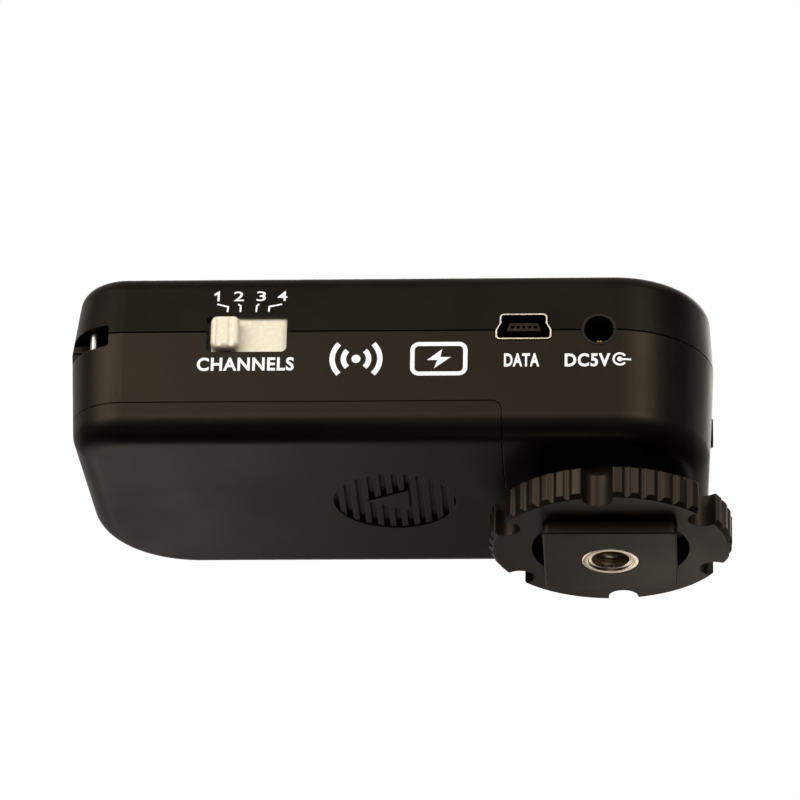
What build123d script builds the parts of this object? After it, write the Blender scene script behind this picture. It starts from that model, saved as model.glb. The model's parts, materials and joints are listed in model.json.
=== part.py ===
"""Wireless flash trigger: a hand-sized radio receiver with a hot shoe on top and a locking shoe foot below.

Millimetres. Origin: centre of the tripod thread's mouth, on the foot's underside. +X runs along the housing
towards the shoe end, +Y away from the channel switch and sockets, +Z up through the hot shoe.
"""

import math
import os

from build123d import *

# ---------------------------------------------------------------- driving dimensions
FRONT_Y, BACK_Y = -21.4, 22.25  # faces of the housing at the seam
LEFT_X, RIGHT_X = -75.4, 14.77  # ends of the housing at the seam, where they meet the front face
LEFT_LEAN, RIGHT_LEAN = 1.8, -0.9  # how far each end runs in X from the front face to the back face
BOTTOM_Z, SEAM_Z, TOP_Z = 9.5, 25.2, 34.67
CORNER_RADII = {"front_left": 7.8, "front_right": 14.0, "back_right": 13.0, "back_left": 14.8}
WALL = 1.5
SEAM_GAP = 0.22
LOWER_INSETS = (0.55, 0.55, 0.85, 0.67)  # how far front, back, left and right draw in at the bottom
UPPER_INSETS = (0.69, 0.69, 1.23, 0.58)  # and at the top
BOTTOM_EDGE_R, TOP_EDGE_R = 3.5, 2.4

DOOR_EDGE_X = -14.6  # right-hand edge of the battery door
DOOR_TOP_Z = 14.65  # where the door's sides meet the bottom shell
DOOR_GAP = 0.12
DOOR_CORNER_R = 1.4
FLOOR_TOP_Z = BOTTOM_Z + 1.6
DECK_Z = DOOR_TOP_Z + DOOR_GAP
DECK_T = 1.2

TAB_Y, TAB_HALF_W = (-14.8, 14.8), 1.5  # tabs on the door's right-hand edge

GRIP_X, GRIP_R, GRIP_DEPTH = -30.3, 8.6, 0.8  # round thumb grip in the door
GRIP_PITCH, GRIP_RIB_W, GRIP_RIB_H, GRIP_RIB_SHIFT = 1.7, 0.83, 0.65, -0.6
GRIP_MOAT = 0.12

CELL_R, CELL_LENGTH, CELL_NUB_R, CELL_NUB_H = 5.25, 44.5, 1.9, 0.8  # AAA cell
CELL_Y, CELL_Z = 5.75, 16.75
BAY_X = (-70.5, -19.5)
BAY_HALF_Y, BAY_TOP_Z, BAY_WALL = 11.6, 22.1, 0.9
CONTACT_T = 0.3

BOARD_Z, BOARD_T = 23.0, 0.8
BOARD_TOP = BOARD_Z + BOARD_T
BOARD_X = (-65.0, 10.5)

SWITCH_Z = 24.85  # centre of both knobs
OPENING_RISE = 0.12  # how much higher the centres of their openings are
CHANNEL_OPENING = (-50.05, 11.1, 5.55)  # centre x, length, height
CHANNEL_TRAVEL = 5.9
POWER_OPENING = (-46.0, 7.0, 5.55)
POWER_TRAVEL = 2.0
KNOB_W, KNOB_H, KNOB_PROUD, KNOB_EDGE_R = 3.95, 4.85, 1.3, 0.7
KNOB_GROOVE_X, KNOB_GROOVE_R, KNOB_GROOVE_OUT = 0.85, 0.55, 0.3
SLIDER_Y, SLIDER_T, SLIDER_HALF_H = FRONT_Y + 0.9, 0.6, 3.25  # face and size of the sliding plates
SWITCH_Y, SWITCH_END = SLIDER_Y + SLIDER_T + 0.12, 3.4

USB_X, USB_Z, USB_WALL, USB_CORNER_R = -11.7, 25.8, 0.2, 0.6
TONGUE_Z = USB_Z + 0.45  # middle of the tongue inside the socket
DC_X, DC_Z, DC_HOLE_R, DC_COLLAR_R = -1.3, 25.4, 2.06, 2.43
DC_PIN_TIP_Y, DC_PIN_R, DC_PIN_SLOT = -17.2, 0.65, 0.2
CAMERA_JACK_Y, CAMERA_JACK_Z = 0.0, 19.9
CAMERA_JACK_FACE_X = 14.4
SYNC_X, SYNC_Z = -12.0, 26.8

CASE_SCREWS = [(6.4, -15.1), (6.4, 15.9), (-61.5, -15.6), (-58.0, 15.6)]
CASE_SCREW_HEAD_R, CASE_SCREW_RECESS_R = 1.6, 1.75
BOARD_SCREWS = [(-31.0, 15.6), (-24.0, -15.6)]

STRAP_Z = (23.4, 26.7)
STRAP_END_X, STRAP_END_Y = -69.3, -14.9  # where the strap recess ends on the front and round the corner
STRAP_RECESS_R = 3.7  # its inner wall, about the corner's centre
STRAP_PIN = (-71.6, -17.8)
STRAP_PIN_R = 0.55

FOOT_W, FOOT_L, FOOT_T = 18.6, 18.0, 1.9  # accessory-shoe foot
NECK_W, NECK_L, NECK_TOP_Z = 12.3, 16.0, 4.4
BOSS_R, SPIGOT_R, SPIGOT_TOP_Z = 10.95, 6.0, 12.6
INSERT_COLLAR_R, INSERT_R, INSERT_TOP_Z, THREAD_R = 4.05, 3.7, 8.2, 2.6
KEY_W, KEY_DEPTH = 2.0, 1.0
FOOT_SCREW_R = 8.3

WHEEL_R, WHEEL_Z, WHEEL_T = 16.96, 1.95, 4.65
WHEEL_CHAMFER, WHEEL_BORE_R = 0.57, 11.0
NOTCHES, NOTCH_R, NOTCH_DEPTH, FIRST_NOTCH = 6, 2.1, 3.2, -95.6
FLUTES_PER_LOBE, FLUTE_PITCH, FLUTE_R, FLUTE_OUT, RIDGE_EDGE_R = 5, 7.9, 0.6, 0.1, 0.35
WASHER_R, WASHER_T = 13.5, 0.6

CEILING_Z = TOP_Z - 1.6

SHOE_BASE_Z, SHOE_BASE_T = TOP_Z - 0.8, 0.8  # the shoe's base lies in a pocket, flush with the top face
SHOE_SEAT_Z = CEILING_Z - 0.8  # underside of the wall below the contact's spring
SHOE_POCKET_GAP = 0.08
SHOE_FRONT_CORNER_R, SHOE_BACK_CORNER_R = 3.0, 1.0
SHOE_CHANNEL_W, SHOE_CHANNEL_H = 18.9, 2.15
SHOE_LIP_GAP, SHOE_SIDE_T, SHOE_LIP_T = 12.8, 1.2, 1.0
SHOE_Y = (-10.0, 10.0)
SHOE_FLOOR_Z = SHOE_BASE_Z + SHOE_BASE_T
PIN_R, PIN_PROUD = 1.1, 0.5

BUTTON_X, BUTTON_R, BUTTON_PROUD = -24.0, 3.0, 0.7
LIGHT_X, LIGHT_R = -32.0, 1.1
LABEL_X, LABEL_HALF_Y, LABEL_R, LABEL_T = (-69.0, -39.0), 11.0, 3.0, 0.25


# ---------------------------------------------------------------- helpers
def box(x, y, z):
    """A box between (low, high) pairs along each axis."""
    size = [high - low for low, high in (x, y, z)]
    middle = [(high + low) / 2 for low, high in (x, y, z)]
    return Pos(*middle) * Box(*size)


def rod(x, y, z, radius):
    """A vertical cylinder at x, y between the two heights in z."""
    return Pos(x, y, (z[0] + z[1]) / 2) * Cylinder(radius, z[1] - z[0])


def bar_x(x, y, z, radius):
    """A cylinder along X between the two places in x."""
    return Pos((x[0] + x[1]) / 2, y, z) * Rot(0, 90, 0) * Cylinder(radius, x[1] - x[0])


def bar_y(x, y, z, radius):
    """A cylinder along Y between the two places in y."""
    return Pos(x, (y[0] + y[1]) / 2, z) * Rot(90, 0, 0) * Cylinder(radius, y[1] - y[0])


def total(parts):
    """All the parts fused into one shape."""
    parts = list(parts)
    fused = parts[0]
    for part in parts[1:]:
        fused = fused + part
    return fused


def outline(insets, z):
    """The housing's outline seen from above, with front, back, left and right moved in, at height z."""
    front, back, left, right = insets
    y = (FRONT_Y + front, BACK_Y - back)
    depth = BACK_Y - FRONT_Y
    ends = [[x + move + lean * (at - FRONT_Y) / depth for at in y] for x, move, lean in (
        (LEFT_X, left, LEFT_LEAN),
        (RIGHT_X, -right, RIGHT_LEAN),
    )]
    corners = {
        "front_left": (ends[0][0], y[0]),
        "front_right": (ends[1][0], y[0]),
        "back_right": (ends[1][1], y[1]),
        "back_left": (ends[0][1], y[1]),
    }
    face = make_face(Polyline(*corners.values(), close=True))
    for name, corner in corners.items():
        vertex = face.vertices().sort_by_distance((*corner, 0))[0]
        face = fillet(vertex, CORNER_RADII[name] - sum(insets) / 4)
    return Pos(0, 0, z) * face


def plan(inset, z):
    """The outline at the seam, moved in evenly by inset, at height z."""
    return outline([inset] * 4, z)


def drafted(inset, z, full_z, insets):
    """The solid from the seam to height z, for sides that draw in by insets at height full_z."""
    share = (z - SEAM_Z) / (full_z - SEAM_Z)
    end = outline([inset + share * draw for draw in insets], z)
    return loft([plan(inset, SEAM_Z), end], ruled=True)


def lower_body(inset, floor_z, edge_r):
    """The solid below the seam, drafted, with its bottom edge rounded."""
    body = drafted(inset, floor_z, BOTTOM_Z, LOWER_INSETS)
    return fillet(body.faces().sort_by(Axis.Z)[0].edges(), edge_r)


def upper_body(inset, roof_z, edge_r):
    """The solid above the seam, drafted, with its top edge rounded."""
    body = drafted(inset, roof_z, TOP_Z, UPPER_INSETS)
    return fillet(body.faces().sort_by(Axis.Z)[-1].edges(), edge_r)


def on_wall(shape, side):
    """A shape made for the front wall, as it is (-1) or carried over to the back wall (1)."""
    return shape if side < 0 else Pos(0, BACK_Y + FRONT_Y, 0) * mirror(shape, Plane.XZ)


def ring(outer_inset, inner_inset, z):
    """A band that follows the outline, between two insets and two heights."""
    return extrude(plan(outer_inset, z[0]), z[1] - z[0]) - extrude(plan(inner_inset, z[0]), z[1] - z[0])


def slide_cutters(opening, travel, side):
    """Window and inside pocket for a slide switch; side is -1 for the front wall and 1 for the back wall."""
    x, length, height = opening
    middle = SWITCH_Z + OPENING_RISE
    z = (middle - height / 2, middle + height / 2)
    window = box((x - length / 2, x + length / 2), (FRONT_Y - 1, FRONT_Y + WALL + 1), z)
    long_edges = window.edges().filter_by(Axis.Y).sort_by(Axis.Z)
    window = fillet(long_edges[:2], 0.8)
    window = fillet(window.edges().filter_by(Axis.Y).sort_by(Axis.Z)[-2:], 0.25)
    pocket_x = (x - length / 2 - 0.3, x + length / 2 + travel + 1.1)
    pocket_z = (SWITCH_Z - SLIDER_HALF_H - 0.2, SWITCH_Z + SLIDER_HALF_H + 0.2)
    pocket = box(pocket_x, (SLIDER_Y - 0.1, SLIDER_Y + 3.0), pocket_z)
    return on_wall(window + pocket, side)


def usb_outline(grow=0.0):
    """Half-and-half mini socket outline on the front plane: wide below, narrow above."""
    top, bottom = 1.98 + grow, -1.98 - grow
    half_top, half_bottom = 3.3 + grow, 3.85 + grow
    points = [
        (-half_top, top),
        (-half_top, 0.5),
        (-half_bottom, -0.5),
        (-half_bottom, bottom),
        (half_bottom, bottom),
        (half_bottom, -0.5),
        (half_top, 0.5),
        (half_top, top),
    ]
    plane = Plane(origin=(USB_X, 0, USB_Z), x_dir=(1, 0, 0), z_dir=(0, -1, 0))
    face = make_face(Polyline(*points, close=True))
    return plane * fillet(face.vertices(), USB_CORNER_R + grow)


def usb_prism(grow, y):
    """The socket outline pushed through between two depths."""
    return extrude(Pos(0, y[1], 0) * usb_outline(grow), y[1] - y[0])


def socket_cutters():
    """Every opening that crosses the housing's side walls."""
    front = (FRONT_Y - 1, FRONT_Y + WALL + 1.5)
    back = (BACK_Y - WALL - 1.5, BACK_Y + 1)
    right = (RIGHT_X - WALL - 2.5, RIGHT_X + 1)
    return [
        slide_cutters(CHANNEL_OPENING, CHANNEL_TRAVEL, -1),
        slide_cutters(POWER_OPENING, POWER_TRAVEL, 1),
        usb_prism(0.1, front),
        bar_y(DC_X, front, DC_Z, DC_COLLAR_R + 0.05),
        bar_y(SYNC_X, back, SYNC_Z, 2.9),
        bar_x(right, CAMERA_JACK_Y, CAMERA_JACK_Z, 2.15),
    ]


# ---------------------------------------------------------------- wrist-strap corner
STRAP_CENTRE = (LEFT_X + CORNER_RADII["front_left"], FRONT_Y + CORNER_RADII["front_left"])


def strap_zone(z):
    """The front-left corner of the housing, as a box that holds the solid corner."""
    x, y = STRAP_CENTRE
    return box((x - 10, x + 1.2), (y - 10, y + 1.2), z)


def strap_block(z):
    """Solid corner that the strap recess is cut from."""
    return strap_zone(z) & extrude(plan(0.6, z[0]), z[1] - z[0])


def strap_recess():
    """The recess that wraps round the corner behind the strap pin."""
    x, y = STRAP_CENTRE
    slot = box((x - 12, STRAP_END_X), (y - 12, STRAP_END_Y), STRAP_Z)
    slot = fillet(slot.edges().filter_by(Axis.Y).group_by(Axis.X)[-1], 0.5)
    slot = fillet(slot.faces().sort_by(Axis.Y)[-1].edges().filter_by(Axis.X), 0.5)
    return slot - rod(x, y, (STRAP_Z[0] - 1, STRAP_Z[1] + 1), STRAP_RECESS_R)


def strap_pin():
    """Steel pin that a wrist strap loops round."""
    return rod(*STRAP_PIN, (STRAP_Z[0] - 1.0, STRAP_Z[1] + 1.0), STRAP_PIN_R)


# ---------------------------------------------------------------- housing
def door_zone(gap):
    """Everything the battery door takes from the housing, moved back by gap."""
    right, top = DOOR_EDGE_X - gap, DOOR_TOP_Z - gap
    side = Pos((right - 90) / 2, (top - 10) / 2) * Rectangle(right + 90, top + 10)
    corner = side.vertices().sort_by_distance((right, top, 0))[0]
    side = fillet(corner, DOOR_CORNER_R - gap)
    return extrude(Plane.XZ * side, 30, both=True)


def lower_skin():
    """The lower half of the housing as one shell, before the door is parted from it."""
    return lower_body(0, BOTTOM_Z, BOTTOM_EDGE_R) - lower_body(WALL, FLOOR_TOP_Z, BOTTOM_EDGE_R - WALL)


def lower_bosses():
    """Screw bosses of the bottom shell, each with where its screw head rests."""
    posts = []
    holes = []
    for x, y in CASE_SCREWS:
        under_door = x < DOOR_EDGE_X
        base = DECK_Z if under_door else BOTTOM_Z + 0.4
        head = 16.8 if under_door else 13.0
        posts.append(rod(x, y, (base, BOARD_Z - 0.4), 3.1))
        holes.append(rod(x, y, (base - 3, head + 1.2), CASE_SCREW_RECESS_R))
        holes.append(rod(x, y, (head, BOARD_Z), 1.1))
    for x, y in BOARD_SCREWS:
        posts.append(rod(x, y, (DECK_Z, BOARD_Z), 2.2))
        holes.append(rod(x, y, (18.0, BOARD_Z + 1), 0.8))
    return posts, holes


def clear_of_door():
    """The room left above the door's inside faces, with a small gap."""
    return lower_body(WALL + 0.3, FLOOR_TOP_Z + 0.3, BOTTOM_EDGE_R - WALL - 0.3)


def battery_bay():
    """Walls and roof that hold the two cells, and the rib between them."""
    x, y, z = BAY_X, (-BAY_HALF_Y, BAY_HALF_Y), (FLOOR_TOP_Z + 0.5, BAY_TOP_Z)
    grown = [(low - BAY_WALL, high + BAY_WALL) for low, high in (x, y)]
    shell = box(*grown, (z[0], BAY_TOP_Z + 0.8)) - box(x, y, (z[0] - 1, z[1]))
    rib = box((x[0] + 6, x[1] - 6), (-0.3, 0.3), (CELL_Z + 1.5, BAY_TOP_Z + 0.1))
    return (shell + rib) & clear_of_door()


def door_skirts():
    """Walls inside the door's sides, with a groove for its rails."""
    skirts = []
    for side in (-1, 1):
        wall = box((-57.0, DOOR_EDGE_X + 0.5), (-19.15, -17.5), (FLOOR_TOP_Z + 0.6, DECK_Z + 0.2))
        groove = box((-58.0, DOOR_EDGE_X + 1), (-19.15, -18.4), (12.25, 13.45))
        skirts.append(on_wall(wall - groove, side))
    return [skirt & clear_of_door() for skirt in skirts]


def bottom_shell():
    """Lower housing: side walls, floor under the shoe end, deck and bay above the door."""
    inside = lower_body(1.0, BOTTOM_Z + 1.0, BOTTOM_EDGE_R - 1.0)
    deck = box((LEFT_X, DOOR_EDGE_X + DECK_T), (FRONT_Y, BACK_Y), (DECK_Z, DECK_Z + DECK_T)) & inside
    wall = box((DOOR_EDGE_X, DOOR_EDGE_X + DECK_T), (FRONT_Y, BACK_Y), (BOTTOM_Z, DECK_Z + DECK_T))
    half = TAB_HALF_W + 0.2
    tab_slots = [box((DOOR_EDGE_X - 1, DOOR_EDGE_X + 2), (y - half, y + half), (11.1, 12.3)) for y in TAB_Y]
    posts, holes = lower_bosses()
    shell = lower_skin() - door_zone(0)
    shell = shell + deck + (wall & inside)
    tongue_z = (SEAM_Z - 0.5, SEAM_Z + 1.0)
    shell = shell + (ring(0.85, WALL, tongue_z) - strap_zone(tongue_z))
    shell = shell + (total(posts) & inside) + strap_block((STRAP_Z[0] - 1.2, SEAM_Z))
    bay_mouth = box(BAY_X, (-BAY_HALF_Y, BAY_HALF_Y), (10, BAY_TOP_Z))
    shell = (shell - bay_mouth) + battery_bay() + total(door_skirts())
    for tool in holes + tab_slots + socket_cutters() + [strap_recess(), strap_pin()]:
        shell = shell - tool
    shell = shell - rod(0, 0, (BOTTOM_Z - 1, FLOOR_TOP_Z + 1), SPIGOT_R + 0.05)
    for x, y in foot_screw_places():
        shell = shell - rod(x, y, (BOTTOM_Z - 1, FLOOR_TOP_Z + 1), 1.1)
    return shell


def top_shell():
    """Upper housing with the shoe opening, button and light holes, and screw bosses."""
    outer = upper_body(0, TOP_Z, TOP_EDGE_R)
    shell = outer - upper_body(WALL, CEILING_Z, 0.8)
    shell = shell + (strap_block((SEAM_Z, STRAP_Z[1] + 1.2)) & outer)
    shell = shell - box((-90, 30), (-30, 30), (SEAM_Z - 1, SEAM_Z + SEAM_GAP))
    groove_z = (SEAM_Z, SEAM_Z + 1.1)
    shell = shell - (ring(0.75, WALL + 0.3, groove_z) - strap_zone(groove_z))
    for x, y in CASE_SCREWS:
        shell = shell + rod(x, y, (BOARD_Z - 0.3, CEILING_Z + 0.3), 2.2)
        shell = shell - rod(x, y, (BOARD_Z - 1, 30.0), 1.0)
    for tool in socket_cutters() + [strap_recess(), strap_pin()]:
        shell = shell - tool
    shell = shell - shoe_plan(SHOE_POCKET_GAP, (SHOE_BASE_Z, TOP_Z + 1))
    shell = shell - box((-6.1, 6.1), (-5.6, 5.6), (CEILING_Z - 1, TOP_Z + 1))
    shell = shell - rod(BUTTON_X, 0, (CEILING_Z - 1, TOP_Z + 1), BUTTON_R + 0.12)
    shell = shell - rod(LIGHT_X, 0, (CEILING_Z - 1, TOP_Z + 1), LIGHT_R)
    shell = shell - label_plate(0.12, (TOP_Z - LABEL_T, TOP_Z + 1))
    for x, y in shoe_screw_places():
        shell = shell - rod(x, y, (CEILING_Z - 1, TOP_Z + 1), 0.8)
    return shell


def thumb_grip():
    """What is cut from the door's outside: a round dish, less its ribs and arrow."""
    dish = rod(GRIP_X, 0, (BOTTOM_Z - 1, BOTTOM_Z + GRIP_DEPTH), GRIP_R)
    rib_z = (BOTTOM_Z + GRIP_DEPTH - GRIP_RIB_H, BOTTOM_Z + GRIP_DEPTH)
    arrow_outline = Polyline((-3.8, 0), (2.0, -3.3), (2.0, 3.3), close=True)
    arrow = extrude(Pos(GRIP_X, 0, BOTTOM_Z) * make_face(arrow_outline), GRIP_DEPTH)
    moat = extrude(Pos(GRIP_X, 0, BOTTOM_Z) * make_face(offset(arrow_outline, GRIP_MOAT)), GRIP_DEPTH)
    count = int(GRIP_R / GRIP_PITCH)
    ribs = [
        box((x - GRIP_RIB_W / 2, x + GRIP_RIB_W / 2), (-GRIP_R, GRIP_R), rib_z)
        for x in (GRIP_X + GRIP_RIB_SHIFT + i * GRIP_PITCH for i in range(-count, count + 1))
    ]
    return dish - (total(ribs) - moat) - arrow


def battery_door():
    """Sliding cover with end wall, side rails, edge tabs and thumb grip."""
    door = lower_skin() & door_zone(DOOR_GAP)
    pad = rod(GRIP_X, 0, (FLOOR_TOP_Z - 0.3, FLOOR_TOP_Z + 0.3), GRIP_R + 1.0)
    rails = [on_wall(box((-56.0, -20.0), (-19.7, -18.6), (12.45, 13.25)), side) for side in (-1, 1)]
    tabs = [
        box((DOOR_EDGE_X - 4, DOOR_EDGE_X + 1.6), y, (FLOOR_TOP_Z + 0.1, FLOOR_TOP_Z + 1.0))
        + box((DOOR_EDGE_X - 4, DOOR_EDGE_X - 0.6), y, (FLOOR_TOP_Z - 0.3, FLOOR_TOP_Z + 0.2))
        for y in ((middle - TAB_HALF_W, middle + TAB_HALF_W) for middle in TAB_Y)
    ]
    return door + pad + total(rails) + total(tabs) - thumb_grip()


def case_screws():
    """Four pan-head screws that hold the two shells together."""
    screws = []
    for x, y in CASE_SCREWS:
        head = 16.8 if x < DOOR_EDGE_X else 13.0
        cross = box((x - 1.1, x + 1.1), (y - 0.2, y + 0.2), (head - 1, head + 0.6))
        cross = cross + box((x - 0.2, x + 0.2), (y - 1.1, y + 1.1), (head - 1, head + 0.6))
        screws.append(rod(x, y, (head, head + 1.2), CASE_SCREW_HEAD_R) + rod(x, y, (head + 1.2, 29.5), 1.0) - cross)
    return Compound(children=screws)


# ---------------------------------------------------------------- batteries and their contacts
def cell(y, nub_side):
    """One cell lying along X; nub_side is 1 for a nub on the right."""
    plates = (BAY_X[0] + CONTACT_T, BAY_X[1] - CONTACT_T)
    tip = plates[1] if nub_side > 0 else plates[0]
    shoulder = tip - nub_side * CELL_NUB_H
    far = tip - nub_side * CELL_LENGTH
    can = bar_x(sorted((far, shoulder)), y, CELL_Z, CELL_R)
    can = fillet(can.edges().filter_by(GeomType.CIRCLE), 0.5)
    return can + bar_x(sorted((shoulder, tip)), y, CELL_Z, CELL_NUB_R)


def link_contact():
    """Plate at the left end that joins the two cells in series."""
    return box((BAY_X[0], BAY_X[0] + CONTACT_T), (-10.2, 10.2), (12.6, 21.4))


def end_contacts():
    """The two plates at the right end, one for each cell, with solder legs through the bay roof."""
    plates = []
    for side in (-1, 1):
        y = sorted((side * 1.4, side * 10.2))
        plates.append(box((BAY_X[1] - CONTACT_T, BAY_X[1]), y, (12.6, 21.4)))
    return Compound(children=plates)


def contact_springs():
    """Coil springs that press on the negative end of each cell."""
    length = BAY_X[1] - BAY_X[0] - 2 * CONTACT_T - CELL_LENGTH
    wire = 0.25
    coil_r = 2.6
    gap = wire + 0.02
    springs = []
    for x, y in ((BAY_X[0] + CONTACT_T + gap, -CELL_Y), (BAY_X[1] - CONTACT_T - length + gap, CELL_Y)):
        path = Helix(pitch=1.25, height=length - 2 * gap, radius=coil_r)
        profile = Plane(origin=path @ 0, z_dir=path % 0) * Circle(wire)
        springs.append(Pos(x, y, CELL_Z) * Rot(0, 90, 0) * sweep(profile, path))
    return Compound(children=springs)


# ---------------------------------------------------------------- circuit boards
def main_board():
    """Circuit board with notches round the jacks and switches."""
    board = extrude(plan(WALL + 0.6, BOARD_Z), BOARD_T)
    board = board & box(BOARD_X, (-30, 30), (BOARD_Z, BOARD_TOP))
    for x, y in CASE_SCREWS:
        board = board - rod(x, y, (BOARD_Z - 1, BOARD_TOP + 1), 2.8)
    for x, y in BOARD_SCREWS:
        board = board - rod(x, y, (BOARD_Z - 1, BOARD_TOP + 1), 1.0)
    z = (BOARD_Z - 1, BOARD_TOP + 1)
    notches = [box((DC_X - 3.3, DC_X + 3.3), (-30, -9.6), z)]
    for opening, travel, side in ((CHANNEL_OPENING, CHANNEL_TRAVEL, -1), (POWER_OPENING, POWER_TRAVEL, 1)):
        half = travel / 2 + SWITCH_END + 0.3
        x = opening[0]
        notches.append(on_wall(box((x - half, x + half), (-30, SWITCH_Y + 4.1), z), side))
    return board - total(notches)


def board_screws():
    """Two screws that hold the board down on its posts."""
    screws = [
        rod(x, y, (BOARD_TOP, BOARD_TOP + 0.9), 1.7) + rod(x, y, (18.4, BOARD_TOP), 0.8) for x, y in BOARD_SCREWS
    ]
    return Compound(children=screws)


def board_chips():
    """Packages soldered on the main board: controller, regulator, crystal, flash driver."""
    places = [
        (-38.0, -8.0, 7.0, 7.0, 1.1),
        (-26.0, -9.0, 5.0, 4.0, 1.4),
        (-14.0, 4.0, 6.5, 3.6, 1.6),
        (-6.0, 6.0, 3.2, 2.5, 0.9),
        (-44.0, 8.0, 3.2, 5.0, 1.0),
        (1.0, -3.0, 4.0, 4.0, 2.0),
    ]
    chips = [
        box((x - w / 2, x + w / 2), (y - d / 2, y + d / 2), (BOARD_TOP, BOARD_TOP + h)) for x, y, w, d, h in places
    ]
    return Compound(children=chips)


def storage_capacitor():
    """Electrolytic can beside the shoe wiring."""
    can = rod(5.5, 8.5, (BOARD_TOP, BOARD_TOP + 6.0), 2.5)
    return fillet(can.edges().sort_by(Axis.Z)[-1], 0.4)


def radio_board():
    """Daughter board of the radio on four stand-off pads."""
    x, y = (-62.0, -46.0), (-4.0, 12.0)
    board = box(x, y, (BOARD_TOP + 0.7, BOARD_TOP + 1.4))
    pads = [
        box((px - 0.8, px + 0.8), (py - 0.8, py + 0.8), (BOARD_TOP, BOARD_TOP + 0.7))
        for px in (x[0] + 1.2, x[1] - 1.2)
        for py in (y[0] + 1.2, y[1] - 1.2)
    ]
    return board + total(pads)


def radio_can():
    """Screening can over the radio chips."""
    z = BOARD_TOP + 1.4
    can = box((-60.5, -51.0), (-2.8, 10.8), (z, z + 1.9))
    can = fillet(can.edges().filter_by(Axis.Z), 0.6)
    return can - box((-60.3, -51.2), (-2.6, 10.6), (z - 1, z + 1.7))


def radio_antenna():
    """Meandered 2.4 GHz strip antenna standing on the radio board."""
    z = (BOARD_TOP + 1.4, BOARD_TOP + 1.6)
    runs = [box((x, x + 0.5), (-2.5, 10.0), z) for x in (-50.2, -48.9, -47.6)]
    ends = [box((-50.2, -48.4), (9.5, 10.0), z), box((-48.9, -47.1), (-2.5, -2.0), z)]
    return total(runs + ends)


# ---------------------------------------------------------------- slide switches
def switch_knob(opening, travel, side):
    """Sliding plate, which fills the opening beside its ridged finger knob, at the low-X end of its travel."""
    centre = opening[0] - travel / 2
    plate = box(
        (centre - KNOB_W / 2, centre + opening[1] / 2 + travel / 2 + 0.7),
        (SLIDER_Y, SLIDER_Y + SLIDER_T),
        (SWITCH_Z - SLIDER_HALF_H, SWITCH_Z + SLIDER_HALF_H),
    )
    knob = box(
        (centre - KNOB_W / 2, centre + KNOB_W / 2),
        (FRONT_Y - KNOB_PROUD, SLIDER_Y + 0.1),
        (SWITCH_Z - KNOB_H / 2, SWITCH_Z + KNOB_H / 2),
    )
    knob = fillet(knob.edges().filter_by(Axis.Y), 0.9)
    knob = fillet(knob.faces().sort_by(Axis.Y)[0].edges(), KNOB_EDGE_R)
    groove_y = FRONT_Y - KNOB_PROUD - KNOB_GROOVE_OUT
    for groove_x in (centre - KNOB_GROOVE_X, centre + KNOB_GROOVE_X):
        knob = knob - Pos(groove_x, groove_y, SWITCH_Z) * Cylinder(KNOB_GROOVE_R, 8)
    lug_y = (SLIDER_Y + SLIDER_T - 0.1, SLIDER_Y + SLIDER_T + 1.2)
    lug = box((centre - 0.7, centre + 0.7), lug_y, (SWITCH_Z - 0.7, SWITCH_Z + 0.7))
    return on_wall(plate + knob + lug, side)


def switch_body(opening, travel, side):
    """Switch housing in a notch of the board, slotted where the knob's lug runs."""
    x = opening[0]
    half = travel / 2 + SWITCH_END
    body = box((x - half, x + half), (SWITCH_Y, SWITCH_Y + 3.8), (SWITCH_Z - 2.7, SWITCH_Z + 2.7))
    slot_x = (x - travel / 2 - 0.9, x + travel / 2 + 0.9)
    slot = box(slot_x, (SWITCH_Y - 1, SWITCH_Y + 1.6), (SWITCH_Z - 0.9, SWITCH_Z + 0.9))
    legs = [
        box((leg_x - 0.25, leg_x + 0.25), (SWITCH_Y + 3.6, SWITCH_Y + 5.6), (BOARD_TOP, BOARD_TOP + 0.4))
        for leg_x in (x - half + 0.8, x, x + half - 0.8)
    ]
    return on_wall(body - slot + total(legs), side)


# ---------------------------------------------------------------- sockets
def usb_shell():
    """Folded metal shell of the mini socket."""
    y = (FRONT_Y - 0.12, FRONT_Y + 9.2)
    cavity = usb_prism(-USB_WALL, (y[0] - 1, y[1] - 0.3))
    return usb_prism(0, y) - cavity


def usb_tongue():
    """Plastic tongue inside the mini socket, with a slot for each contact."""
    back = FRONT_Y + 8.9
    profile = Plane(origin=(USB_X, back, TONGUE_Z), x_dir=(1, 0, 0), z_dir=(0, -1, 0)) * Trapezoid(4.7, 1.25, 75)
    tongue = extrude(profile, back - FRONT_Y - 1.0)
    slots = [
        box((x - 0.22, x + 0.22), (FRONT_Y - 1, back - 1), (TONGUE_Z - 0.2, TONGUE_Z + 0.2))
        for x in (USB_X + i * 0.8 for i in range(-2, 3))
    ]
    return tongue - total(slots)


def usb_contacts():
    """Five gold contacts in the tongue's slots."""
    pins = [
        box((x - 0.18, x + 0.18), (FRONT_Y + 1.5, FRONT_Y + 7.4), (TONGUE_Z - 0.18, TONGUE_Z - 0.03))
        for x in (USB_X + i * 0.8 for i in range(-2, 3))
    ]
    return Compound(children=pins)


def dc_jack_body():
    """Power socket moulding: round collar in the wall, block behind it."""
    face = FRONT_Y + 0.1
    collar = bar_y(DC_X, (face, FRONT_Y + 2.0), DC_Z, DC_COLLAR_R)
    block = box((DC_X - 3.0, DC_X + 3.0), (FRONT_Y + WALL + 0.3, -10.0), (DC_Z - 2.75, DC_Z + 2.75))
    return collar + block - bar_y(DC_X, (face - 1, -12.0), DC_Z, DC_HOLE_R)


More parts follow.
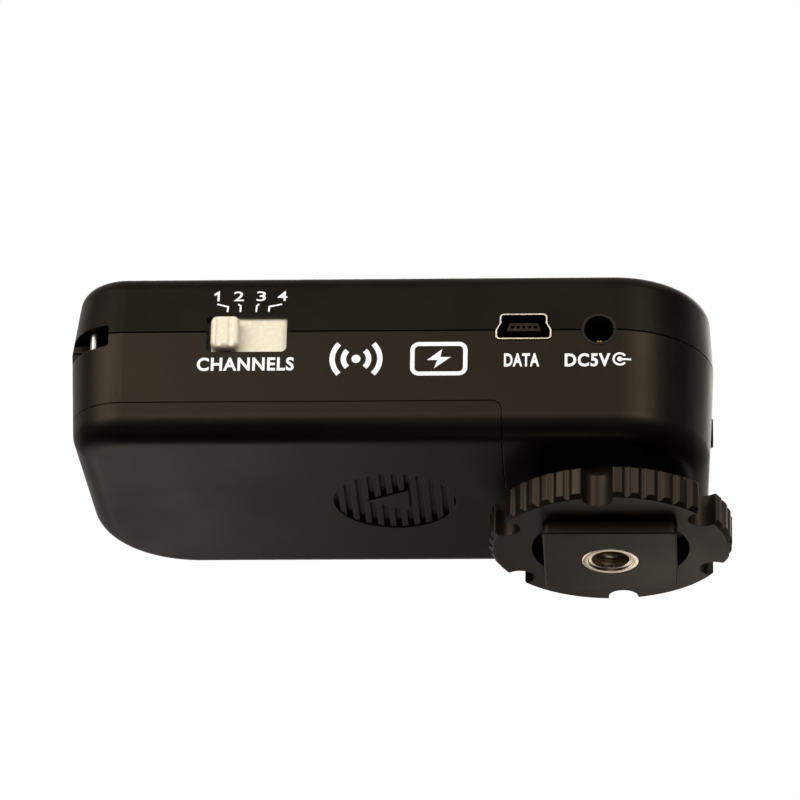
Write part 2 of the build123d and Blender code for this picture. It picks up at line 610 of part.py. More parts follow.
def dc_jack_pin():
    """Split centre pin and side spring leaf of the power socket."""
    pin = bar_y(DC_X, (DC_PIN_TIP_Y, -12.0), DC_Z, DC_PIN_R)
    pin = fillet(pin.edges().filter_by(GeomType.CIRCLE).sort_by(Axis.Y)[0], 0.3)
    half = DC_PIN_SLOT / 2
    pin = pin - box((DC_X - half, DC_X + half), (DC_PIN_TIP_Y - 1, DC_PIN_TIP_Y + 1.8), (DC_Z - 1, DC_Z + 1))
    leaf = box((DC_X - 0.6, DC_X + 0.6), (-16.5, -12.0), (DC_Z - DC_HOLE_R + 0.12, DC_Z - DC_HOLE_R + 0.32))
    return Compound(children=[pin, leaf])


def camera_jack():
    """2.5 mm jack for the shutter cable, on the right-hand end, below the board."""
    y, z, face = CAMERA_JACK_Y, CAMERA_JACK_Z, CAMERA_JACK_FACE_X
    collar = bar_x((face - 2.6, face), y, z, 2.1)
    collar = fillet(collar.edges().sort_by(Axis.X)[-1], 0.25)
    block = box((0.8, face - 2.3), (y - 2.5, y + 2.5), (z - 2.5, BOARD_Z))
    return collar + block - bar_x((1.8, face + 1), y, z, 1.3)


def sync_jack():
    """3.5 mm jack for the studio-flash cable, on the back wall."""
    collar = bar_y(SYNC_X, (BACK_Y - 2.3, BACK_Y - 0.1), SYNC_Z, 2.85)
    block = box((SYNC_X - 3.1, SYNC_X + 3.1), (8.6, BACK_Y - WALL - 0.6), (BOARD_TOP, BOARD_TOP + 6.0))
    return collar + block - bar_y(SYNC_X, (9.4, BACK_Y + 1), SYNC_Z, 1.8)


# ---------------------------------------------------------------- button and light
def test_button():
    """Round cap with a retaining flange and a stem down to the tact switch."""
    cap = rod(BUTTON_X, 0, (CEILING_Z - 0.6, TOP_Z + BUTTON_PROUD), BUTTON_R)
    cap = fillet(cap.edges().sort_by(Axis.Z)[-1], 0.5)
    flange = rod(BUTTON_X, 0, (CEILING_Z - 1.1, CEILING_Z - 0.1), BUTTON_R + 0.7)
    return cap + flange + rod(BUTTON_X, 0, (BOARD_TOP + 2.6, CEILING_Z - 1.0), 1.1)


def tact_switch():
    """Tact switch on the board below the button."""
    body = box((BUTTON_X - 3.0, BUTTON_X + 3.0), (-3.0, 3.0), (BOARD_TOP, BOARD_TOP + 1.6))
    return fillet(body.edges().filter_by(Axis.Z), 0.4) + rod(BUTTON_X, 0, (BOARD_TOP + 1.6, BOARD_TOP + 2.1), 1.6)


def light_pipe():
    """Clear rod that brings the status light to the top face."""
    pipe = rod(LIGHT_X, 0, (BOARD_TOP + 0.9, TOP_Z + 0.15), LIGHT_R)
    return pipe + rod(LIGHT_X, 0, (CEILING_Z - 1.0, CEILING_Z), LIGHT_R + 0.6)


def label_plate(grow, z):
    """The top label's outline, grown and extruded between two heights."""
    length, width = LABEL_X[1] - LABEL_X[0], 2 * LABEL_HALF_Y
    outline = RectangleRounded(length + 2 * grow, width + 2 * grow, LABEL_R + grow)
    return extrude(Pos(sum(LABEL_X) / 2, 0, z[0]) * outline, z[1] - z[0])


def top_label():
    """Blank adhesive label let into the top face."""
    return label_plate(0, (TOP_Z - LABEL_T, TOP_Z - 0.05))


def status_led():
    """Surface-mounted light under the pipe."""
    return box((LIGHT_X - 0.8, LIGHT_X + 0.8), (-0.6, 0.6), (BOARD_TOP, BOARD_TOP + 0.8))


# ---------------------------------------------------------------- hot shoe
def shoe_screw_places():
    return [(x, y) for x in (-4.2, 4.2) for y in (-7.6, 7.6)]


def shoe_plan(grow, z):
    """The shoe's rounded outline, grown and extruded between two heights."""
    half = SHOE_CHANNEL_W / 2 + SHOE_SIDE_T + grow
    block = box((-half, half), (SHOE_Y[0] - grow, SHOE_Y[1] + grow), z)
    block = fillet(block.edges().filter_by(Axis.Z).group_by(Axis.Y)[0], SHOE_FRONT_CORNER_R + grow)
    return fillet(block.edges().filter_by(Axis.Z).group_by(Axis.Y)[-1], SHOE_BACK_CORNER_R + grow)


def shoe_rails():
    """Bent metal shoe: base plate, side walls, inward lips and a stop at the back."""
    inner, lip = SHOE_CHANNEL_W / 2, SHOE_LIP_GAP / 2
    outer = inner + SHOE_SIDE_T
    lip_z = SHOE_FLOOR_Z + SHOE_CHANNEL_H
    top_z = lip_z + SHOE_LIP_T
    right = [(outer, SHOE_BASE_Z), (outer, top_z), (lip, top_z), (lip, lip_z), (inner, lip_z), (inner, SHOE_FLOOR_Z)]
    outline = make_face(Polyline(*right, *[(-x, z) for x, z in reversed(right)], close=True))
    rounds = [(outer, top_z, 0.8), (inner, lip_z, 0.3), (inner, SHOE_FLOOR_Z, 0.3)]
    for x, z, radius in rounds:
        for side in (-1, 1):
            outline = fillet(outline.vertices().sort_by_distance((side * x, z, 0))[0], radius)
    section = Plane(origin=(0, SHOE_Y[0], 0), x_dir=(-1, 0, 0), z_dir=(0, 1, 0)) * outline
    rails = extrude(section, SHOE_Y[1] - SHOE_Y[0]) & shoe_plan(0, (SHOE_BASE_Z - 1, top_z + 1))
    rails = rails - box((-6.0, 6.0), (-5.5, 5.5), (SHOE_BASE_Z - 1, SHOE_FLOOR_Z + 1))
    rails = rails + box((-5.0, 5.0), (SHOE_Y[1] - 0.8, SHOE_Y[1]), (SHOE_BASE_Z, SHOE_FLOOR_Z + 1.7))
    for x, y in shoe_screw_places():
        rails = rails - rod(x, y, (SHOE_BASE_Z - 1, SHOE_FLOOR_Z + 0.5), 1.35)
    return rails


def shoe_spring():
    """Leaf spring: two bowed arms beside the contact block, joined at the stop end."""
    thickness = 0.2
    low, rise = SHOE_FLOOR_Z + 0.02, 0.55
    start, end = SHOE_Y[0] + 1.2, SHOE_Y[1] - 1.4
    top_arc = ThreePointArc((start, low), ((start + end) / 2, low + rise), (end, low))
    under_arc = ThreePointArc((end, low + thickness), ((start + end) / 2, low + rise + thickness), (start, low + thickness))
    side_profile = make_face([top_arc, Line(top_arc @ 1, under_arc @ 0), under_arc, Line(under_arc @ 1, top_arc @ 0)])
    arms = []
    for x in (-9.0, 6.9):
        arms.append(extrude(Plane(origin=(x, 0, 0), x_dir=(0, 1, 0), z_dir=(1, 0, 0)) * side_profile, 2.1))
    bridge = box((-9.0, 9.0), (end - 0.9, end), (low, low + thickness))
    return arms[0] + arms[1] + bridge


def shoe_block():
    """Insulating block that carries the centre contact."""
    block = box((-6.0, 6.0), (-5.5, 5.5), (SHOE_SEAT_Z - 1.0, SHOE_FLOOR_Z))
    flange = box((-7.4, 7.4), (-6.6, 6.6), (SHOE_SEAT_Z - 1.0, CEILING_Z - 0.02))
    block = block + flange
    block = block - rod(0, 0, (SHOE_SEAT_Z, SHOE_FLOOR_Z + 1), PIN_R + 0.04)
    return block - rod(0, 0, (SHOE_SEAT_Z - 0.3, SHOE_FLOOR_Z - 0.9), 2.0)


def shoe_pin():
    """Sprung centre contact."""
    top = SHOE_FLOOR_Z + PIN_PROUD
    pin = rod(0, 0, (SHOE_SEAT_Z + 0.9, top), PIN_R)
    pin = fillet(pin.edges().sort_by(Axis.Z)[-1], 0.4)
    return pin + rod(0, 0, (SHOE_SEAT_Z + 0.9, SHOE_FLOOR_Z - 0.92), 1.8)


def shoe_pin_spring():
    """Coil spring under the centre contact."""
    wire = 0.16
    low, high = SHOE_SEAT_Z - 0.3, SHOE_SEAT_Z + 0.9
    path = Helix(pitch=0.55, height=high - low - 2 * wire - 0.06, radius=1.2)
    profile = Plane(origin=path @ 0, z_dir=path % 0) * Circle(wire)
    return Pos(0, 0, low + wire + 0.03) * sweep(profile, path)


def shoe_screws():
    """Four countersunk screws that hold the shoe to the top shell."""
    screws = []
    for x, y in shoe_screw_places():
        head = rod(x, y, (SHOE_BASE_Z + 0.05, SHOE_FLOOR_Z), 1.33)
        shank = rod(x, y, (CEILING_Z - 1.5, SHOE_BASE_Z + 0.1), 0.8)
        cross = box((x - 0.8, x + 0.8), (y - 0.14, y + 0.14), (SHOE_FLOOR_Z - 0.35, SHOE_FLOOR_Z + 1))
        cross = cross + box((x - 0.14, x + 0.14), (y - 0.8, y + 0.8), (SHOE_FLOOR_Z - 0.35, SHOE_FLOOR_Z + 1))
        screws.append(head + shank - cross)
    return Compound(children=screws)


# ---------------------------------------------------------------- foot and lock wheel
def foot_screw_places():
    reach = FOOT_SCREW_R * math.sqrt(0.5)
    return [(x, y) for x in (-reach, reach) for y in (-reach, reach)]


def mounting_foot():
    """Shoe foot, neck, threaded boss and the spigot that enters the housing."""
    plate = box((-FOOT_W / 2, FOOT_W / 2), (-FOOT_L / 2, FOOT_L / 2), (0, FOOT_T))
    plate = fillet(plate.edges().filter_by(Axis.Z), 0.8)
    plate = fillet(plate.faces().sort_by(Axis.Z)[0].edges(), 0.3)
    neck = box((-NECK_W / 2, NECK_W / 2), (-NECK_L / 2, NECK_L / 2), (FOOT_T - 0.5, NECK_TOP_Z + 0.5))
    boss = rod(0, 0, (NECK_TOP_Z, BOTTOM_Z - 0.02), BOSS_R)
    keyways = [
        box(sorted((side * (BOSS_R - KEY_DEPTH), side * 12)), (-KEY_W / 2, KEY_W / 2), (0, BOTTOM_Z))
        for side in (-1, 1)
    ]
    foot = neck + (boss - total(keyways)) + plate + rod(0, 0, (BOTTOM_Z - 0.5, SPIGOT_TOP_Z), SPIGOT_R)
    foot = foot - rod(0, 0, (0, INSERT_TOP_Z), INSERT_R) - rod(0, 0, (-1, 0.7), INSERT_COLLAR_R)
    for x, y in foot_screw_places():
        foot = foot - rod(x, y, (5.8, BOTTOM_Z), 1.0)
    return foot


def tripod_insert():
    """Quarter-inch threaded insert with a flush collar; its bore is the thread's minor diameter."""
    insert = rod(0, 0, (0, 0.7), INSERT_COLLAR_R) + rod(0, 0, (0.6, INSERT_TOP_Z), INSERT_R)
    return insert - rod(0, 0, (-1, INSERT_TOP_Z + 1), THREAD_R)


def foot_screws():
    """Four screws from inside the housing into the boss."""
    screws = []
    for x, y in foot_screw_places():
        head = rod(x, y, (FLOOR_TOP_Z, FLOOR_TOP_Z + 1.1), 1.8)
        screws.append(head + rod(x, y, (6.0, FLOOR_TOP_Z), 1.0))
    return Compound(children=screws)


def wheel_profile():
    """The wheel seen from above: a disc with six finger notches and rounded ridges between flutes."""
    profile = Circle(WHEEL_R)
    notch_x = WHEEL_R - NOTCH_DEPTH + NOTCH_R
    for i in range(NOTCHES):
        angle = FIRST_NOTCH + i * 360 / NOTCHES
        profile = profile - Rot(0, 0, angle) * Pos(notch_x, 0) * Circle(NOTCH_R)
        profile = profile - Rot(0, 0, angle) * Pos(notch_x + 3, 0) * Rectangle(6, 2 * NOTCH_R)
        for k in range(FLUTES_PER_LOBE):
            flute_angle = angle + 180 / NOTCHES + (k - (FLUTES_PER_LOBE - 1) / 2) * FLUTE_PITCH
            profile = profile - Rot(0, 0, flute_angle) * Pos(WHEEL_R + FLUTE_OUT, 0) * Circle(FLUTE_R)
    rim = [vertex for vertex in profile.vertices() if math.hypot(vertex.X, vertex.Y) > WHEEL_R - 0.05]
    return fillet(rim, RIDGE_EDGE_R)


def lock_wheel():
    """Ridged clamping wheel with six finger notches."""
    z = (WHEEL_Z, WHEEL_Z + WHEEL_T)
    blank = rod(0, 0, z, WHEEL_R)
    blank = chamfer(blank.edges().sort_by(Axis.Z)[0], WHEEL_CHAMFER)
    blank = chamfer(blank.edges().sort_by(Axis.Z)[-1], 0.3)
    wheel = blank & extrude(Pos(0, 0, z[0] - 1) * wheel_profile(), WHEEL_T + 2)
    wheel = wheel - rod(0, 0, (0, 10), WHEEL_BORE_R)
    return wheel - rod(0, 0, (z[1] - 0.72, z[1] + 1), WASHER_R + 0.1)


def lock_washer():
    """Tab washer on the wheel, keyed to the boss so that it slides without turning."""
    z = (WHEEL_Z + WHEEL_T - 0.68, WHEEL_Z + WHEEL_T - 0.08)
    washer = rod(0, 0, z, WASHER_R) - rod(0, 0, (0, 10), BOSS_R + 0.08)
    tabs = [
        box(sorted((side * (BOSS_R - KEY_DEPTH + 0.1), side * 11.5)), (-KEY_W / 2 + 0.1, KEY_W / 2 - 0.1), z)
        for side in (-1, 1)
    ]
    return washer + total(tabs)


# ---------------------------------------------------------------- write every node
NODES = {
    "top_shell": top_shell,
    "top_label": top_label,
    "bottom_shell": bottom_shell,
    "battery_door": battery_door,
    "strap_pin": strap_pin,
    "case_screws": case_screws,
    "battery_cell_front": lambda: cell(-CELL_Y, 1),
    "battery_cell_rear": lambda: cell(CELL_Y, -1),
    "battery_link_contact": link_contact,
    "battery_end_contacts": end_contacts,
    "battery_springs": contact_springs,
    "main_board": main_board,
    "board_screws": board_screws,
    "board_chips": board_chips,
    "storage_capacitor": storage_capacitor,
    "radio_board": radio_board,
    "radio_shield_can": radio_can,
    "radio_antenna": radio_antenna,
    "channel_switch_knob": lambda: switch_knob(CHANNEL_OPENING, CHANNEL_TRAVEL, -1),
    "channel_switch_body": lambda: switch_body(CHANNEL_OPENING, CHANNEL_TRAVEL, -1),
    "power_switch_knob": lambda: switch_knob(POWER_OPENING, POWER_TRAVEL, 1),
    "power_switch_body": lambda: switch_body(POWER_OPENING, POWER_TRAVEL, 1),
    "usb_shell": usb_shell,
    "usb_tongue": usb_tongue,
    "usb_contacts": usb_contacts,
    "dc_jack_body": dc_jack_body,
    "dc_jack_pin": dc_jack_pin,
    "camera_jack": camera_jack,
    "sync_jack": sync_jack,
    "test_button": test_button,
    "tact_switch": tact_switch,
    "light_pipe": light_pipe,
    "status_led": status_led,
    "shoe_rails": shoe_rails,
    "shoe_leaf_spring": shoe_spring,
    "shoe_contact_block": shoe_block,
    "shoe_center_contact": shoe_pin,
    "shoe_contact_spring": shoe_pin_spring,
    "shoe_screws": shoe_screws,
    "mounting_foot": mounting_foot,
    "tripod_insert": tripod_insert,
    "foot_screws": foot_screws,
    "lock_wheel": lock_wheel,
    "lock_washer": lock_washer,
}

os.makedirs("parts", exist_ok=True)
for name, make in NODES.items():
    export_step(make(), f"parts/{name}.step")
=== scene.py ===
"""Looks of the wireless flash trigger: finishes, front print, threaded insert, camera, light and floor."""

import json
import math

import bmesh
import bpy
from mathutils import Matrix, Vector

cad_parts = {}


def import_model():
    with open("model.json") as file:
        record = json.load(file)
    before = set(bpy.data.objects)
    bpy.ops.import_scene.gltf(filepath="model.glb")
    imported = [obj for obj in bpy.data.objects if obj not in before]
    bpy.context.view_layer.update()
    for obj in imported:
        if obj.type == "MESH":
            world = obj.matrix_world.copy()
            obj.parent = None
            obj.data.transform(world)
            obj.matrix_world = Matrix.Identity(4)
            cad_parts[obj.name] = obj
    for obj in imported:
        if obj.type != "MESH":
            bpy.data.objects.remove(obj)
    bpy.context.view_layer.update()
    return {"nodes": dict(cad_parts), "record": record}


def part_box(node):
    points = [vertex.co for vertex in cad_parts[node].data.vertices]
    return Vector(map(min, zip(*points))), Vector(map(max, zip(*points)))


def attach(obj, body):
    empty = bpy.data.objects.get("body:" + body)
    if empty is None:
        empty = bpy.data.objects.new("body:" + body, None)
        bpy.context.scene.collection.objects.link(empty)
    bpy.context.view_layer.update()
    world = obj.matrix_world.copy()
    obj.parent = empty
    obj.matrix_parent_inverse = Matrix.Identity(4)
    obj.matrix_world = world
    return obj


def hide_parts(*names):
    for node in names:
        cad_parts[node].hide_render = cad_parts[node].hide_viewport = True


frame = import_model()
nodes = frame["nodes"]
MM = 0.001
INCH = 25.4  # millimetres


# ------------------------------------------------------------------ node helpers
def fill_ramp(ramp, stops):
    """Give a colour ramp node its stops [(place 0..1, (r, g, b)), ...]."""
    elements = ramp.color_ramp.elements
    while len(elements) < len(stops):
        elements.new(0.5)
    for element, (place, colour) in zip(elements, stops):
        element.position = place
        element.color = (*colour, 1.0)


class Tree:
    """Short-hand for building one material's node tree. Noise scales are in cycles per metre."""

    def __init__(self, name):
        self.material = bpy.data.materials.new(name)
        self.material.use_nodes = True
        self.tree = self.material.node_tree
        self.tree.nodes.clear()
        self.output = self.node("ShaderNodeOutputMaterial")
        self.shader = self.node("ShaderNodeBsdfPrincipled")
        self.link(self.shader.outputs["BSDF"], self.output.inputs["Surface"])
        self.position = self.node("ShaderNodeTexCoord").outputs["Object"]

    def node(self, kind, **settings):
        made = self.tree.nodes.new(kind)
        for key, value in settings.items():
            setattr(made, key, value)
        return made

    def link(self, source, target):
        self.tree.links.new(source, target)

    def set(self, **values):
        """Constants on the shader's own sockets, named with _ for a space."""
        for key, value in values.items():
            self.shader.inputs[key.replace("_", " ")].default_value = value

    def scaled(self, scale):
        """The object's own coordinates, scaled along X, Y and Z."""
        mapping = self.node("ShaderNodeMapping")
        mapping.inputs["Scale"].default_value = scale
        self.link(self.position, mapping.inputs["Vector"])
        return mapping.outputs["Vector"]

    def along(self, axis):
        split = self.node("ShaderNodeSeparateXYZ")
        self.link(self.position, split.inputs[0])
        return split.outputs[axis]

    def noise(self, scale, detail=3.0, roughness=0.5, stretch=None):
        noise = self.node("ShaderNodeTexNoise")
        noise.inputs["Scale"].default_value = scale
        noise.inputs["Detail"].default_value = detail
        noise.inputs["Roughness"].default_value = roughness
        self.link(self.scaled(stretch) if stretch else self.position, noise.inputs["Vector"])
        return noise.outputs["Fac"]

    def ramp(self, fac, stops):
        ramp = self.node("ShaderNodeValToRGB")
        fill_ramp(ramp, stops)
        self.link(fac, ramp.inputs["Fac"])
        return ramp.outputs["Color"]

    def range(self, fac, low, high, start=0.0, end=1.0):
        """fac from start..end to low..high, held at both ends."""
        spread = self.node("ShaderNodeMapRange")
        for name, value in (("From Min", start), ("From Max", end), ("To Min", low), ("To Max", high)):
            spread.inputs[name].default_value = value
        self.link(fac, spread.inputs["Value"])
        return spread.outputs["Result"]

    def math(self, operation, a, b=0.0):
        made = self.node("ShaderNodeMath", operation=operation)
        for socket, value in zip(made.inputs, (a, b)):
            if isinstance(value, (int, float)):
                socket.default_value = value
            else:
                self.link(value, socket)
        return made.outputs["Value"]

    def mix(self, fac, a, b):
        mix = self.node("ShaderNodeMix", data_type="RGBA")
        self.link(fac, mix.inputs["Factor"])
        for socket, value in ((mix.inputs["A"], a), (mix.inputs["B"], b)):
            if isinstance(value, tuple):
                socket.default_value = (*value, 1.0)
            else:
                self.link(value, socket)
        return mix.outputs["Result"]

    def soft_edge(self, radius):
        """Normals as if the edges were rounded to that radius."""
        bevel = self.node("ShaderNodeBevel", samples=4)
        bevel.inputs["Radius"].default_value = radius
        return bevel.outputs["Normal"]

    def edge_mask(self, rounded):
        """1 where a rounded edge turns away from the flat surface beside it, 0 elsewhere."""
        dot = self.node("ShaderNodeVectorMath", operation="DOT_PRODUCT")
        self.link(rounded, dot.inputs[0])
        self.link(self.node("ShaderNodeNewGeometry").outputs["Normal"], dot.inputs[1])
        return self.range(dot.outputs["Value"], 1.0, 0.0, 0.93, 1.0)

    def bump(self, height, strength, distance, normal=None):
        """Relief on the shader's normal, over a given one."""
        bump = self.node("ShaderNodeBump")
        bump.inputs["Strength"].default_value = strength
        bump.inputs["Distance"].default_value = distance
        self.link(height, bump.inputs["Height"])
        if normal is not None:
            self.link(normal, bump.inputs["Normal"])
        self.link(bump.outputs["Normal"], self.shader.inputs["Normal"])
        return bump.outputs["Normal"]


def moulded(
    name, dark, light, rough, grain=5200.0, grain_depth=0.012, edge=0.12, worn=None, specular=0.5, sheen=None,
    scatter=0.0,
):
    """Moulded plastic: spark-eroded grain, faint clouding, softened and slightly polished edges.

    dark and light are the two base colours, grain is in cycles per metre, and grain_depth, edge (the softened
    radius) and scatter (how far light spreads inside) are in millimetres.
    """
    t = Tree(name)
    cloud = t.noise(55.0, 4.0, 0.6)
    fine = t.noise(grain, 2.0, 0.55)
    speck = t.noise(1900.0, 3.0, 0.6)
    colour = t.ramp(cloud, [(0.3, dark), (0.72, light)])
    colour = t.mix(t.range(speck, 0.0, 0.35, 0.45, 0.75), colour, tuple(min(1.0, c * 1.8) for c in light))
    roughness = t.range(cloud, rough - 0.05, rough + 0.06, 0.3, 0.7)
    rounded = None
    if edge:
        rounded = t.soft_edge(edge * MM)
        mask = t.edge_mask(rounded)
        colour = t.mix(t.math("MULTIPLY", mask, 0.5), colour, worn or tuple(c * 1.9 for c in light))
        roughness = t.math("SUBTRACT", roughness, t.math("MULTIPLY", mask, 0.12))
    t.link(colour, t.shader.inputs["Base Color"])
    t.link(roughness, t.shader.inputs["Roughness"])
    t.set(Specular_IOR_Level=specular)
    if sheen:
        t.set(Specular_Tint=(*sheen, 1.0))
    if scatter:
        t.set(Subsurface_Weight=0.6, Subsurface_Scale=scatter * MM, Subsurface_Radius=(1.0, 0.8, 0.5))
    t.bump(t.math("ADD", fine, t.math("MULTIPLY", speck, 0.5)), 0.35, grain_depth * MM, rounded)
    return t


def metal(name, colour, rough, brushed=None, edge=0.08, dirt=0.25, painted_shade_y=None):
    """Plated or bare metal: faint brushing and uneven polish.

    brushed stretches the brushing along an axis, edge is the softened radius in millimetres, dirt is how much
    darker the dull places are, and if the last argument gives a depth, the metal deeper than it is painted nearly
    black as painted shade.
    """
    t = Tree(name)
    cloud = t.noise(240.0, 4.0, 0.6)
    lines = t.noise(2600.0, 4.0, 0.6, brushed) if brushed else t.noise(3200.0, 3.0, 0.6)
    darker = tuple(c * (1.0 - dirt) for c in colour)
    base = t.mix(t.range(cloud, 0.0, 1.0, 0.35, 0.7), darker, colour)
    base = t.mix(t.range(lines, 0.0, 0.3, 0.4, 0.7), base, darker)
    if painted_shade_y is not None:
        # painted shade: deeper inside than the given depth the colour fades to nearly black, as if in shadow
        depth = t.range(t.along("Y"), 0.0, 1.0, painted_shade_y, painted_shade_y + 0.5 * MM)
        base = t.mix(depth, base, tuple(c * 0.06 for c in colour))
    t.link(base, t.shader.inputs["Base Color"])
    t.link(t.range(t.math("ADD", lines, cloud), rough - 0.06, rough + 0.1, 0.7, 1.3), t.shader.inputs["Roughness"])
    t.set(Metallic=1.0)
    t.bump(lines, 0.25, 0.006 * MM, t.soft_edge(edge * MM) if edge else None)
    return t


def board_mask(name):
    """Green solder mask over copper tracks."""
    tracks_per_metre = 320.0
    t = Tree(name)
    tracks = t.node("ShaderNodeTexBrick")
    t.link(t.scaled((tracks_per_metre,) * 3), tracks.inputs["Vector"])
    tracks.inputs["Mortar Size"].default_value = 0.06
    tracks.inputs["Scale"].default_value = 1.0
    cloud = t.noise(400.0, 3.0)
    green = t.ramp(cloud, [(0.3, (0.008, 0.07, 0.03)), (0.7, (0.015, 0.12, 0.05))])
    t.link(t.mix(tracks.outputs["Fac"], green, (0.03, 0.2, 0.08)), t.shader.inputs["Base Color"])
    t.link(t.range(cloud, 0.25, 0.4), t.shader.inputs["Roughness"])
    t.bump(tracks.outputs["Fac"], 0.4, 0.02 * MM)
    return t


def silk_ink(name):
    """White silk-screen ink, slightly thin and uneven in places."""
    t = Tree(name)
    thin = t.noise(2600.0, 4.0, 0.65)
    cloud = t.noise(500.0, 2.0)
    white = t.ramp(cloud, [(0.3, (0.93, 0.94, 0.96)), (0.7, (0.96, 0.97, 0.99))])
    t.link(t.mix(t.range(thin, 0.0, 0.35, 0.66, 0.85), white, (0.82, 0.82, 0.82)), t.shader.inputs["Base Color"])
    t.link(t.range(cloud, 0.5, 0.62), t.shader.inputs["Roughness"])
    t.bump(thin, 0.3, 0.008 * MM)
    return t


def clear_plastic(name):
    """Clear light pipe, faintly frosted."""
    t = Tree(name)
    haze = t.noise(1800.0, 3.0)
    t.link(t.ramp(haze, [(0.3, (0.75, 0.77, 0.76)), (0.7, (0.9, 0.92, 0.9))]), t.shader.inputs["Base Color"])
    t.link(t.range(haze, 0.15, 0.35), t.shader.inputs["Roughness"])
    t.set(IOR=1.49, Transmission_Weight=0.75)
    t.bump(haze, 0.2, 0.01 * MM)
    return t


def cell_sleeve(name):
    """Printed sleeve of a cell, bare metal at both ends, by where the surface is along the cell."""
    bare, bare_fade, band_half, band_fade = 2.1 * MM, 0.15 * MM, 11.8 * MM, 0.2 * MM
    t = Tree(name)
    low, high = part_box("battery_cell_front")
    middle, half = (low.x + high.x) / 2, (high.x - low.x) / 2
    off = t.math("ABSOLUTE", t.math("SUBTRACT", t.along("X"), middle))
    end = t.range(off, 0.0, 1.0, half - bare, half - bare + bare_fade)
    cloud = t.noise(300.0, 3.0)
    band = t.range(off, 1.0, 0.0, band_half, band_half + band_fade)
    wrap = t.mix(band, t.ramp(cloud, [(0.3, (0.02, 0.02, 0.022)), (0.7, (0.035, 0.035, 0.04))]), (0.32, 0.2, 0.07))
    t.link(t.mix(end, wrap, (0.62, 0.61, 0.58)), t.shader.inputs["Base Color"])
    t.link(t.range(end, 0.0, 1.0), t.shader.inputs["Metallic"])
    t.link(t.range(cloud, 0.2, 0.34), t.shader.inputs["Roughness"])
    t.bump(t.noise(2400.0, 3.0), 0.15, 0.006 * MM)
    return t


# darker and lighter base colours, and the tint of the blacks' gloss
HOUSING = (0.0030, 0.0023, 0.0016), (0.0043, 0.0034, 0.0025)
FOOT = (0.0042, 0.0033, 0.0025), (0.0060, 0.0048, 0.0037)
CREAM = (0.75, 0.705, 0.56), (0.79, 0.745, 0.60)
CREAM_WORN = (0.80, 0.76, 0.63)
NICKEL = (0.88, 0.79, 0.64)
WARM = (1.0, 0.80, 0.60)
shell_low, shell_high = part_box("bottom_shell")

# one finish for each material slot of the record, and three more: two nickels, one of them with painted shade deep
# inside the socket, and the ink
MATERIALS = {
    "housing_black": lambda n: moulded(n, *HOUSING, 0.36, specular=0.18, sheen=WARM),
    "door_black": lambda n: moulded(n, *HOUSING, 0.38, specular=0.18, sheen=WARM),
    "foot_black": lambda n: moulded(n, *FOOT, 0.43, 3800.0, 0.014, specular=0.28, sheen=WARM),
    "wheel_black": lambda n: moulded(n, *FOOT, 0.43, 3800.0, 0.014, specular=0.28, sheen=WARM),
    "label_film": lambda n: moulded(
        n, (0.035, 0.035, 0.037), (0.05, 0.05, 0.054), 0.55, 7000.0, 0.006, 0.03, specular=0.2
    ),
    "button_grey": lambda n: moulded(n, (0.05, 0.05, 0.052), (0.075, 0.075, 0.08), 0.45, edge=0.06),
    "switch_black": lambda n: moulded(n, (0.01, 0.01, 0.01), (0.02, 0.02, 0.02), 0.5, edge=0.05),
    "socket_black": lambda n: moulded(
        n, (0.004, 0.004, 0.004), (0.008, 0.008, 0.008), 0.34, 6000.0, 0.006, 0.05, specular=0.25, sheen=WARM
    ),
    "insulator_black": lambda n: moulded(n, (0.01, 0.01, 0.01), (0.016, 0.016, 0.016), 0.45, edge=0.05),
    "chip_black": lambda n: moulded(n, (0.012, 0.012, 0.013), (0.02, 0.02, 0.022), 0.55, edge=0.04),
    "cream_plastic": lambda n: moulded(n, *CREAM, 0.36, 6000.0, 0.005, 0.08, CREAM_WORN, scatter=0.8),
    "board_green": board_mask,
    "led_body": lambda n: moulded(n, (0.7, 0.66, 0.5), (0.8, 0.77, 0.62), 0.3, edge=0.03),
    "clear_plastic": clear_plastic,
    "cell_wrap": cell_sleeve,
    "capacitor_can": lambda n: metal(n, (0.62, 0.62, 0.64), 0.3),
    "tinned_can": lambda n: metal(n, (0.62, 0.62, 0.6), 0.35),
    "nickel": lambda n: metal(n, NICKEL, 0.24, dirt=0.1),
    # nickel painted nearly black deeper inside the socket, as painted shade
    "socket_nickel_painted_shade": lambda n: metal(n, NICKEL, 0.24, dirt=0.1, painted_shade_y=shell_low.y),
    "insert_nickel": lambda n: metal(n, NICKEL, 0.3, edge=None, dirt=0.05),
    "nickel_strip": lambda n: metal(n, (0.68, 0.66, 0.6), 0.3),
    "steel": lambda n: metal(n, (0.5, 0.49, 0.47), 0.3),
    "shoe_steel": lambda n: metal(n, (0.58, 0.56, 0.53), 0.32, (1.0, 0.06, 1.0), 0.1),
    "spring_steel": lambda n: metal(n, (0.62, 0.61, 0.58), 0.25, edge=None),
    "screw_steel": lambda n: metal(n, (0.34, 0.34, 0.35), 0.35, edge=0.05),
    "gold": lambda n: metal(n, (0.85, 0.6, 0.22), 0.25, edge=None),
    "ink_white": silk_ink,
}
made_materials = {}


def material(slot):
    """The finish of that name, made once."""
    if slot not in made_materials:
        made_materials[slot] = MATERIALS[slot](slot + "_finish").material
    return made_materials[slot]


def paint(obj, slot):
    obj.data.materials.clear()
    obj.data.materials.append(material(slot))


for subpart in frame["record"]["subparts"]:
    paint(nodes[subpart["node"]], subpart["material_slot"])
# the USB shell's nickel carries painted shade: nearly black deep inside the socket
paint(nodes["usb_shell"], "socket_nickel_painted_shade")


# ------------------------------------------------------------------ print on the front wall
def middle_x(node):
    """Where that node's middle is along X, in millimetres."""
    low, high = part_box(node)
    return (low.x + high.x) / 2 / MM


